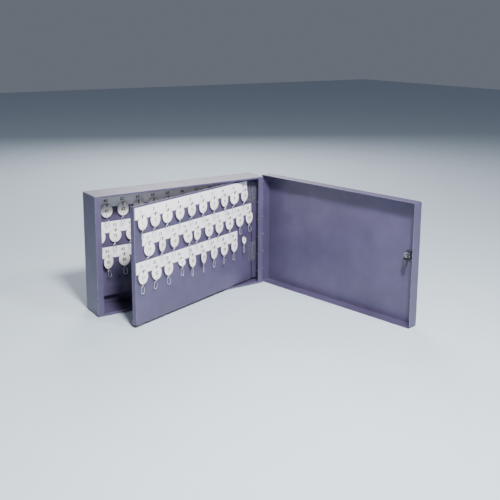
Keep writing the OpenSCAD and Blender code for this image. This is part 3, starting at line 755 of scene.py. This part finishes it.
def snap_tree():
    """A wire snap: an eye in the tag's small hole, a neck, and a long loop with a sprung gate."""
    labels = {
        "Wire radius": FLOAT, "Eye depth": FLOAT, "Eye height": FLOAT, "Width": FLOAT,
        "Length": FLOAT, "Finish": MATERIAL,
    }
    tree = Tree("wire_snaps", labels)
    wire, depth, height, width, length = (
        tree.size(k) for k in ("Wire radius", "Eye depth", "Eye height", "Width", "Length")
    )
    half = width * 0.5
    top = -height
    foot = top - length
    shoulder = top - width * 0.45
    points = [
        tree.point(half * 0.30, 0.0, shoulder - width * 0.10),
        tree.point(half * 0.86, 0.0, shoulder - width * 0.30),
        tree.point(half, 0.0, foot),
        tree.point(-half, 0.0, foot),
        tree.point(-half, 0.0, shoulder),
        tree.point(0.0, 0.0, top - width * 0.12),
        tree.point(0.0, depth, top * 0.85),
        tree.point(0.0, depth, 0.0),
        tree.point(0.0, -depth, 0.0),
        tree.point(0.0, -depth, top * 0.80),
        tree.point(half * 0.16, -depth * 0.6, top - width * 0.06),
    ]
    small = width * 0.16
    round_foot = width * 0.48
    bends = [0.0, small, round_foot, round_foot, small, small, depth, depth, depth, depth, 0.0]
    radii = [SNAP_ENDS[0], *[1.0] * (len(points) - 2), SNAP_ENDS[1]]
    return tree.spread(tree.wire(points, bends, radii, wire, SNAP_SIDES), "Finish")


def copies_tree(name):
    """Copies of one made piece on every point."""
    tree = Tree(name, {"Piece": OBJECT, "Finish": MATERIAL})
    source = tree.tree.nodes.new("GeometryNodeObjectInfo")
    source.transform_space = "ORIGINAL"
    tree.tree.links.new(tree.size("Piece").socket, source.inputs["Object"])
    return tree.spread(Field(tree, source.outputs["Geometry"]), "Finish")


HOOKS = hook_tree()
SNAPS = snap_tree()
TAG_COPIES = copies_tree("tag_copies")
RIVET_COPIES = copies_tree("rivet_copies")
FACE_OUT = (0.0, 0.0, 0.0)
FACE_BACK = (0.0, 0.0, math.pi)

HOOK_R = 0.9 * MM
HOOK_BEND = 2.9 * MM


def hook_points(node, body, rear):
    """The root of each hook on its plate's face, and the way that it stands out."""
    points = []
    for low, high in loose_boxes(node, body):
        root = Vector(((low.x + high.x) / 2, low.y if rear else high.y, low.z + HOOK_R))
        points.append((root, FACE_BACK if rear else FACE_OUT, 0.0, 1.0))
    return points


HOOK_POINTS = {
    "back": hook_points("back_hooks", "case", False),
    "front": hook_points("panel_front_hooks", "panel", False),
    "rear": hook_points("panel_rear_hooks", "panel", True),
}


def hook_reach():
    """How far a hook stands out and how high its tip is above its shank."""
    low, high = loose_boxes("back_hooks", "case")[0]
    return high.y - low.y, high.z - low.z - HOOK_R


def build_hooks():
    """The key plate's hooks and the swing panel's."""
    reach, rise = hook_reach()
    sizes = {
        "Wire radius": HOOK_R, "Reach": reach, "Rise": rise, "Bend": HOOK_BEND, "Finish": HOOK_WIRE,
    }
    back = HOOKS.grow("key_plate_hooks", HOOK_POINTS["back"], sizes, PLACE["case"])
    new_piece("key_plate_hooks", back, "case", [], ["back_hooks"])
    both = HOOK_POINTS["front"] + HOOK_POINTS["rear"]
    mesh = HOOKS.grow("swing_panel_hooks", both, sizes, PLACE["panel"])
    nodes = ["panel_front_hooks", "panel_rear_hooks"]
    new_piece("swing_panel_hooks", mesh, "panel", [], nodes)


# ---- Tags and their snaps ----

# How some tags hang askew: (twist, tilt, kick) in degrees and (slide, drop) in mm
ASKEW = {
    3: (-6, 4, 2, 0.6, 0), 5: (4, -5, 3, 0.5, 0), 8: (6, -6, 2, 0.8, 0),
    9: (-8, 5, 3, 1.0, 0), 11: (-10, 2, 3, 1.4, 1.2), 12: (14, 5, 3, 2.2, 0),
    14: (3, -24, 6, 1.6, 0), 15: (8, 4, 2, 1.0, 0), 22: (-3, -5, 3, 0.8, 0),
    24: (-5, -24, 12, 0.8, 0), 25: (10, 4, 7, 1.4, 0), 26: (17, 9, 5, 2.6, 0),
    27: (8, -3, 2, 1.0, 0), 29: (7, 4, 2, 1.0, 0), 30: (3, 12, 10, 0.6, 0),
    61: (-4, 3, 2, 0.6, 0), 71: (10, -4, 2, 1.0, 0), 72: (-6, 5, 3, 0.6, 0),
    81: (19, 6, 3, 2.8, 0),
}
SMALL_TAGS = {24: 0.66, 30: 0.60}
NUMBERS_FROM = {"front": 1, "rear": 31, "back": 61}
TAG_SEED = 7
TAG_HOLE_R = 2.2 * MM
TAG_HOLE_DROP = 4.8 * MM
RING_HOLE_R = 1.1 * MM
TAG_BEVEL = 0.12 * MM
TAG_TAPER = 0.075
TAG_CREASE = math.radians(50)
OUTLINE_STEPS = 56
HOLE_STEPS = 20
# The usual tag: twist and tilt either way and kick out in degrees, slide out in mm with its spread
USUAL_TWIST, USUAL_TILT, USUAL_KICK = 3.5, 2.9, 1.2
USUAL_SLIDE, SLIDE_SPREAD = 1.3, 0.7


def tag_size():
    """A tag's width, height and thickness, and how far its middle plane is from its plate."""
    low, high = loose_boxes("back_tags_row_1", "case")[0]
    plate_y = HOOK_POINTS["back"][0][0].y
    return high.x - low.x, high.z - low.z, high.y - low.y, plate_y - (low.y + high.y) / 2


TAG_W, TAG_H, TAG_T, TAG_STAND = tag_size()
BOARD = tag_board()


def tag_outline():
    """An oval that narrows a little towards its foot, with the hanging hole at the origin."""
    points = []
    for step in range(OUTLINE_STEPS):
        angle = 2 * math.pi * step / OUTLINE_STEPS
        up = math.cos(angle)
        narrowing = TAG_TAPER * (1 - up) * (1 - up) / 2 * abs(math.sin(angle))
        half = TAG_W / 2 * math.sin(angle) * (1 - narrowing)
        points.append((half, up * TAG_H / 2 - TAG_H / 2 + TAG_HOLE_DROP))
    return points


def ring_points(radius, drop):
    """A round hole's outline, with its centre a drop below the origin."""
    angles = [2 * math.pi * step / HOLE_STEPS for step in range(HOLE_STEPS)]
    return [(radius * math.sin(angle), radius * math.cos(angle) - drop) for angle in angles]


def tag_shape():
    """One tag in the XZ plane: a stamped board with its two holes and softened edges."""
    curve = bpy.data.curves.new("tag_outline", "CURVE")
    curve.dimensions = "2D"
    curve.fill_mode = "BOTH"
    curve.extrude = TAG_T / 2 - TAG_BEVEL
    curve.bevel_depth = TAG_BEVEL
    curve.bevel_resolution = 1
    curve.offset = -TAG_BEVEL
    foot_hole_drop = TAG_H - 2 * TAG_HOLE_DROP
    holes = [ring_points(TAG_HOLE_R, 0.0), ring_points(RING_HOLE_R, foot_hole_drop)]
    for loop in [tag_outline(), *holes]:
        spline = curve.splines.new("POLY")
        spline.points.add(len(loop) - 1)
        for point, (x, z) in zip(spline.points, loop):
            point.co = (x, z, 0.0, 1.0)
        spline.use_cyclic_u = True
    mesh = baked(linked("tag_holder", curve))
    mesh.transform(UPRIGHT)
    bm = bmesh.new()
    bm.from_mesh(mesh)
    bmesh.ops.remove_doubles(bm, verts=bm.verts, dist=MERGE)
    bmesh.ops.recalc_face_normals(bm, faces=bm.faces)
    bm.to_mesh(mesh)
    bm.free()
    mesh.shade_smooth()
    mesh.set_sharp_from_angle(angle=TAG_CREASE)
    mesh.attributes.new("spot", "FLOAT_VECTOR", "POINT")
    spots = [c / MM for v in mesh.vertices for c in v.co]
    mesh.attributes["spot"].data.foreach_set("vector", spots)
    return linked("tag_shape", mesh)


def tag_poses():
    """For each plate and row, the number, place and turn of every tag, and its shade."""
    dice = random.Random(TAG_SEED)
    poses = {}
    for plate, roots in HOOK_POINTS.items():
        rear = plate == "rear"
        per_row = len(roots) // ROWS
        for row in range(ROWS):
            line = roots[row * per_row:(row + 1) * per_row]
            line = sorted(line, key=lambda p: -p[0].x if rear else p[0].x)
            for index, (root, facing, _, _) in enumerate(line):
                number = NUMBERS_FROM[plate] + row * per_row + index
                lean, roll, swing, out = [dice.uniform(-1, 1) for _ in range(4)]
                kick, slide = USUAL_KICK + abs(swing), USUAL_SLIDE + out * SLIDE_SPREAD
                usual = (USUAL_TWIST * lean, USUAL_TILT * roll, kick, slide, 0)
                twist, tilt, kick, slide, drop = ASKEW.get(number, usual)
                away = Euler(facing).to_matrix()
                swing = Euler([math.radians(a) for a in (-kick, tilt, twist)]).to_matrix()
                size = SMALL_TAGS.get(number, 1.0)
                rest_on_wire = TAG_HOLE_R * size - HOOK_R
                offset = Vector((0.0, -(TAG_STAND + slide * MM), -rest_on_wire - drop * MM))
                turn = (away @ swing).to_euler()
                pose = (number, root + away @ offset, tuple(turn), dice.random(), size)
                poses.setdefault((plate, row), []).append(pose)
    return poses


TAG_POSES = tag_poses()
SNAP_R = 0.55 * MM
SNAP_SEED = 11
SNAP_TWIST, SNAP_TILT = 16, 13
SNAP_SHORTER = 2.6 * MM
EYE_CLEARANCE = 0.15 * MM
EYE_BELOW_TAG = 1.4 * MM


def foot_hole(pose):
    """Where a tag's small hole is."""
    _, place, turn, _, size = pose
    reach = Vector((0.0, 0.0, -(TAG_H - 2 * TAG_HOLE_DROP) * size))
    return place + Euler(turn).to_matrix() @ reach


def snap_points(poses, dice):
    """For each tag's pose, the place and turn of the snap in its small hole."""
    points = []
    for pose in poses:
        twist = math.radians(dice.uniform(-SNAP_TWIST, SNAP_TWIST))
        tilt = math.radians(dice.uniform(-SNAP_TILT, SNAP_TILT))
        _, _, (_, _, heading), _, _ = pose
        points.append((foot_hole(pose), (0.0, tilt, heading + twist), 0.0, 1.0))
    return points


def build_tags():
    """Every row of tags, the figures on them, and their snaps."""
    tag = tag_shape()
    dice = random.Random(SNAP_SEED)
    low, high = loose_boxes("back_snaps_row_1", "case")[0]
    tag_foot = loose_boxes("back_tags_row_1", "case")[0][0].z
    snap_sizes = {
        "Wire radius": SNAP_R,
        "Eye depth": TAG_T / 2 + SNAP_R + EYE_CLEARANCE,
        "Eye height": TAG_HOLE_DROP + EYE_BELOW_TAG,
        "Width": high.x - low.x - 2 * SNAP_R,
        "Length": tag_foot - low.z - SNAP_SHORTER,
        "Finish": SNAP_WIRE,
    }
    groups = {"rear_rows": ("panel", [("rear", row) for row in range(ROWS)], "panel_rear_{}")}
    for row in range(ROWS):
        back, front = f"back_{{}}_row_{row + 1}", f"panel_front_{{}}_row_{row + 1}"
        groups[f"back_row_{row + 1}"] = ("case", [("back", row)], back)
        groups[f"front_row_{row + 1}"] = ("panel", [("front", row)], front)
    for name, (body, keys, node) in groups.items():
        poses = [p for key in keys for p in TAG_POSES[key]]
        points = [pose[1:] for pose in poses]
        sizes = {"Piece": tag, "Finish": BOARD}
        mesh = TAG_COPIES.grow(f"tags_{name}", points, sizes, PLACE[body])
        new_piece(f"tags_{name}", mesh, body, [], [node.format("tags")])
        mesh = SNAPS.grow(f"snaps_{name}", snap_points(poses, dice), snap_sizes, PLACE[body])
        new_piece(f"snaps_{name}", mesh, body, [], [node.format("snaps")])
        build_tag_figures(f"tag_figures_{name}", poses, body)
    bpy.data.objects.remove(tag)


# ---- Figures ----

INK_T = 0.03 * MM
TAG_FIGURE_H = 6.4 * MM
LABEL_FIGURE_H = 6.2 * MM
FIGURE_RATIO = 0.70
FIGURE_WEIGHT = 0.05
FIGURE_BELOW_MIDDLE = 1.0 * MM


def figure_mesh(number, height):
    """A number as a thin raised mesh in the XZ plane, facing -Y, centred on the origin."""
    curve = bpy.data.curves.new("figure", "FONT")
    curve.body = str(number)
    curve.size = height / FIGURE_RATIO
    curve.align_x = "CENTER"
    curve.align_y = "CENTER"
    curve.extrude = INK_T / 2
    curve.offset = height * FIGURE_WEIGHT
    curve.resolution_u = 2
    mesh = baked(linked("figure_holder", curve))
    mesh.transform(UPRIGHT)
    return mesh


def joined_figures(name, figures, body, material):
    """One piece from (number, height, matrix) figures."""
    bm = bmesh.new()
    for number, height, matrix in figures:
        mesh = figure_mesh(number, height)
        mesh.transform(PLACE[body] @ matrix)
        bm.from_mesh(mesh)
        bpy.data.meshes.remove(mesh)
    bmesh.ops.remove_doubles(bm, verts=bm.verts, dist=MERGE)
    new_piece(name, mesh_from(bm, name), body, [material], ())


def build_tag_figures(name, poses, body):
    """The number on each tag."""
    figures = []
    for number, place, turn, _, size in poses:
        pose = Matrix.Translation(place) @ Euler(turn).to_matrix().to_4x4()
        drop = (TAG_HOLE_DROP - TAG_H / 2) * size - FIGURE_BELOW_MIDDLE
        middle = Vector((0.0, -TAG_T / 2 * size - INK_T / 4, drop))
        figures.append((number, TAG_FIGURE_H * size, pose @ Matrix.Translation(middle)))
    joined_figures(name, figures, body, TAG_INK)


LABEL_FIGURE_RISE = 9.6 * MM
LABEL_RIM = 0.05 * MM
LABEL_NODES = {
    ("back", "case"): "back_label_row_{}", ("front", "panel"): "panel_front_label_row_{}",
    ("rear", "panel"): "panel_rear_label_row_{}",
}


def build_labels():
    """The label strips, with a printed number above each hook that a strip reaches."""
    for (plate, body), pattern in LABEL_NODES.items():
        for row in range(ROWS):
            node = pattern.format(row + 1)
            strip = f"{plate}_label_strip_{row + 1}"
            sheet_piece(strip, node, body, CARD[body], "label_paper", rim=LABEL_RIM, rim_steps=1)
            low, high = closed_box(node, body)
            figures = []
            for number, root in label_numbers(plate, row):
                if low.x < root.x < high.x:
                    place = label_figure_place(plate, root, low, high)
                    figures.append((number, LABEL_FIGURE_H, place))
            name = f"{plate}_label_figures_{row + 1}"
            joined_figures(name, figures, body, LABEL_INK)


def label_numbers(plate, row):
    """Each number of a row, with the root of its hook."""
    roots = {p[0]: i for i, p in enumerate(TAG_POSES[(plate, row)])}
    line = HOOK_POINTS[plate][row * len(roots):(row + 1) * len(roots)]
    line = sorted(line, key=lambda p: -p[0].x if plate == "rear" else p[0].x)
    return [(number, point[0]) for number, point in zip(sorted(roots), line)]


def label_figure_place(plate, root, low, high):
    """Where a number is printed on a strip: above its hook, on the strip's outer face."""
    rise = root.z + LABEL_FIGURE_RISE
    if plate == "rear":
        spot = Vector((root.x, high.y + INK_T / 4, rise))
        return Matrix.Translation(spot) @ Matrix.Rotation(math.pi, 4, "Z")
    return Matrix.Translation(Vector((root.x, low.y - INK_T / 4, rise)))


# ---- Rivets, hinges and lock ----

RIVET_R = 2.6 * MM
RIVET_H = 0.6 * MM
RIVET_TAIL = 0.5 * MM
RIVET_SIDES = 18
# Outlines as (share of the tail's or the head's height, share of the head's radius)
RIVET_TAIL_OUTLINE = ((1.0, 0.0), (1.0, 0.62), (0.5, 0.80), (0.0, 0.74), (0.0, 0.56))
RIVET_HEAD_OUTLINE = (
    (0.0, 0.56), (0.0, 1.0), (0.25, 1.0), (0.62, 0.84), (0.92, 0.55), (1.0, 0.34), (0.98, 0.30),
    (0.45, 0.26), (0.45, 0.0),
)
LEAF_RIM = 0.12 * MM
PIN_RIM = 0.2 * MM
PLUG_RIM = 0.15 * MM
SCREW_RIM = 0.25 * MM
CAM_RIM = 0.3 * MM
BARREL_RIM = 0.35 * MM


def turned_piece(name, profile, steps):
    """A piece turned about +X from an outline of (distance along X, radius)."""
    bm = bmesh.new()
    rings = []
    for x, radius in profile:
        ring = []
        for step in range(steps if radius > 0 else 1):
            angle = 2 * math.pi * step / steps
            ring.append(bm.verts.new((x, radius * math.cos(angle), radius * math.sin(angle))))
        rings.append(ring)
    for first, second in zip(rings, rings[1:]):
        for step in range(steps):
            after = (step + 1) % steps
            if len(first) == 1 and len(second) == 1:
                continue
            if len(first) == 1:
                bm.faces.new((first[0], second[after], second[step]))
            elif len(second) == 1:
                bm.faces.new((first[step], first[after], second[0]))
            else:
                bm.faces.new((first[step], first[after], second[after], second[step]))
    bmesh.ops.recalc_face_normals(bm, faces=bm.faces)
    mesh = mesh_from(bm, name)
    mesh.shade_smooth()
    mesh.set_sharp_from_angle(angle=SMOOTH_ANGLE)
    return linked(name, mesh)


def rivet_shape(grip):
    """A blind rivet along +X: a domed head with the mandrel's dimple, and a rolled tail."""
    profile = [(-RIVET_TAIL * x, RIVET_R * r) for x, r in RIVET_TAIL_OUTLINE]
    profile += [(grip + RIVET_H * x, RIVET_R * r) for x, r in RIVET_HEAD_OUTLINE]
    return turned_piece("rivet_shape", profile, RIVET_SIDES)


def build_rivets():
    """One group of rivets for each stack, each facing out of its sheet."""
    sideways, forwards = (0.0, 0.0, 0.0), (0.0, 0.0, -math.pi / 2)
    groups = [
        ("bracket_rivets", "case", sideways, 0), ("piano_hinge_case_rivets", "case", sideways, 0),
        ("hinge_fixed_rivets", "case", forwards, 1), ("hinge_moving_rivets", "panel", forwards, 1),
        ("piano_hinge_door_rivets", "door", sideways, 0),
    ]
    for node, body, facing, axis in groups:
        boxes = loose_boxes(node, body)
        low, high = boxes[0]
        shape = rivet_shape((high - low)[axis] - RIVET_H - RIVET_TAIL)
        points = []
        for low, high in boxes:
            root = (low + high) / 2
            root[axis] = low[axis] + RIVET_TAIL if axis == 0 else high[axis] - RIVET_TAIL
            points.append((root, facing, 0.0, 1.0))
        sizes = {"Piece": shape, "Finish": ZINC}
        mesh = RIVET_COPIES.grow(f"{node}_domed", points, sizes, PLACE[body])
        new_piece(f"{node}_domed", mesh, body, [], [node])
        bpy.data.objects.remove(shape)


def build_hinges():
    """The hinge leaves with softened knuckles, and their pins."""
    for side in ("upper", "lower"):
        for kind, body in (("fixed", "case"), ("moving", "panel")):
            leaf, node = f"{side}_butt_leaf_{kind}", f"{side}_hinge_{kind}_leaf"
            sheet_piece(leaf, node, body, BUTT_ZINC, "zinc_plate", rim=LEAF_RIM)
        node = f"{side}_hinge_pin"
        sheet_piece(f"{side}_butt_pin", node, "case", ZINC, "zinc_plate", rim=PIN_RIM)
    sheet_piece("piano_leaf_case", "piano_hinge_case_leaf", "case", ENAMEL["case"], rim=LEAF_RIM)
    sheet_piece("piano_leaf_door", "piano_hinge_door_leaf", "door", ENAMEL["door"], rim=LEAF_RIM)
    sheet_piece("piano_pin", "piano_hinge_pin", "case", ZINC, "zinc_plate", rim=PIN_RIM)


def build_lock():
    """The lock: collar and threaded barrel, nut, plug with its keyway, cranked cam and screw."""
    chrome, zinc = "lock_chrome", "zinc_plate"
    pieces = [
        ("lock_barrel_turned", "lock_barrel", "door", LOCK_CHROME, chrome, BARREL_RIM, 3),
        ("lock_nut_hex", "lock_nut", "door", CAM_STEEL, zinc, CAM_RIM, 2),
        ("lock_plug_turned", "lock_plug", "lock", LOCK_CHROME, chrome, PLUG_RIM, 2),
        ("lock_cam_plate", "lock_cam", "lock", CAM_STEEL, zinc, CAM_RIM, 3),
        ("cam_screw_slotted", "cam_screw", "lock", ZINC, zinc, SCREW_RIM, 2),
    ]
    for name, node, body, finish, slot, rim, steps in pieces:
        sheet_piece(name, node, body, finish, slot, rim=rim, rim_steps=steps)


# ---- Studio ----

# The camera: place in metres, angles in degrees, and focal length over the frame's width
CAMERA_AT = Vector((-0.7658, -1.4279, 0.5773))
CAMERA_HEADING = 33.807
CAMERA_TIP = 11.028
CAMERA_ROLL = 0.322
FOCAL_RATIO = 1.5028
CAMERA_SHIFT = -0.14
SENSOR_MM = 36.0
FLOOR_HALF = 6.0
SKY_COLOUR = (0.70, 0.78, 0.95, 1.0)
SKY_STRENGTH = 0.20
LIGHTS_AIM = Vector((0.05, -0.15, 0.12))
# Each light: its place, its width and height in metres, and its power in watts
LIGHTS = {
    "high_key": ((-0.28, -1.10, 1.32), (0.24, 0.20), 58.0),
    "right_key": ((0.42, -1.15, 1.20), (0.20, 0.20), 13.0),
    "rear_soft": ((0.95, 1.60, 1.35), (1.0, 0.8), 36.0),
    "front_fill": ((0.10, -2.60, 0.90), (1.0, 0.7), 5.0),
}


def build_camera():
    """The camera in front of the cabinet's left corner."""
    data = bpy.data.cameras.new("studio_camera")
    data.sensor_width = SENSOR_MM
    data.lens = FOCAL_RATIO * SENSOR_MM
    data.shift_y = CAMERA_SHIFT
    camera = linked("studio_camera", data)
    heading = Matrix.Rotation(math.radians(-CAMERA_HEADING), 4, "Z")
    tip = Matrix.Rotation(math.radians(90 - CAMERA_TIP), 4, "X")
    roll = Matrix.Rotation(math.radians(CAMERA_ROLL), 4, "Z")
    camera.matrix_world = Matrix.Translation(CAMERA_AT) @ heading @ tip @ roll
    bpy.context.scene.camera = camera


def softbox(name, place, size, power):
    """A rectangular light that faces the object."""
    data = bpy.data.lights.new(name, "AREA")
    data.shape = "RECTANGLE"
    data.size, data.size_y = size
    data.energy = power
    lamp = linked(name, data)
    aim = (LIGHTS_AIM - Vector(place)).to_track_quat("-Z", "Y")
    lamp.matrix_world = Matrix.Translation(place) @ aim.to_matrix().to_4x4()


def build_studio():
    """The floor, the sky's glow and the lights."""
    bm = bmesh.new()
    half = FLOOR_HALF
    corners = [(-half, -half), (half, -half), (half, half), (-half, half)]
    bm.faces.new([bm.verts.new((x, y, CAD_BOX[0].z)) for x, y in corners])
    floor = linked("studio_floor", mesh_from(bm, "studio_floor"))
    floor.data.materials.append(studio_floor())
    world = bpy.data.worlds.new("studio_air")
    world.use_nodes = True
    backdrop = world.node_tree.nodes["Background"]
    backdrop.inputs["Color"].default_value = SKY_COLOUR
    backdrop.inputs["Strength"].default_value = SKY_STRENGTH
    bpy.context.scene.world = world
    for name, (place, size, power) in LIGHTS.items():
        softbox(name, place, size, power)


build_camera()
build_studio()
build_case()
build_panel()
build_door()
build_hinges()
build_rivets()
build_hooks()
build_tags()
build_labels()
build_lock()
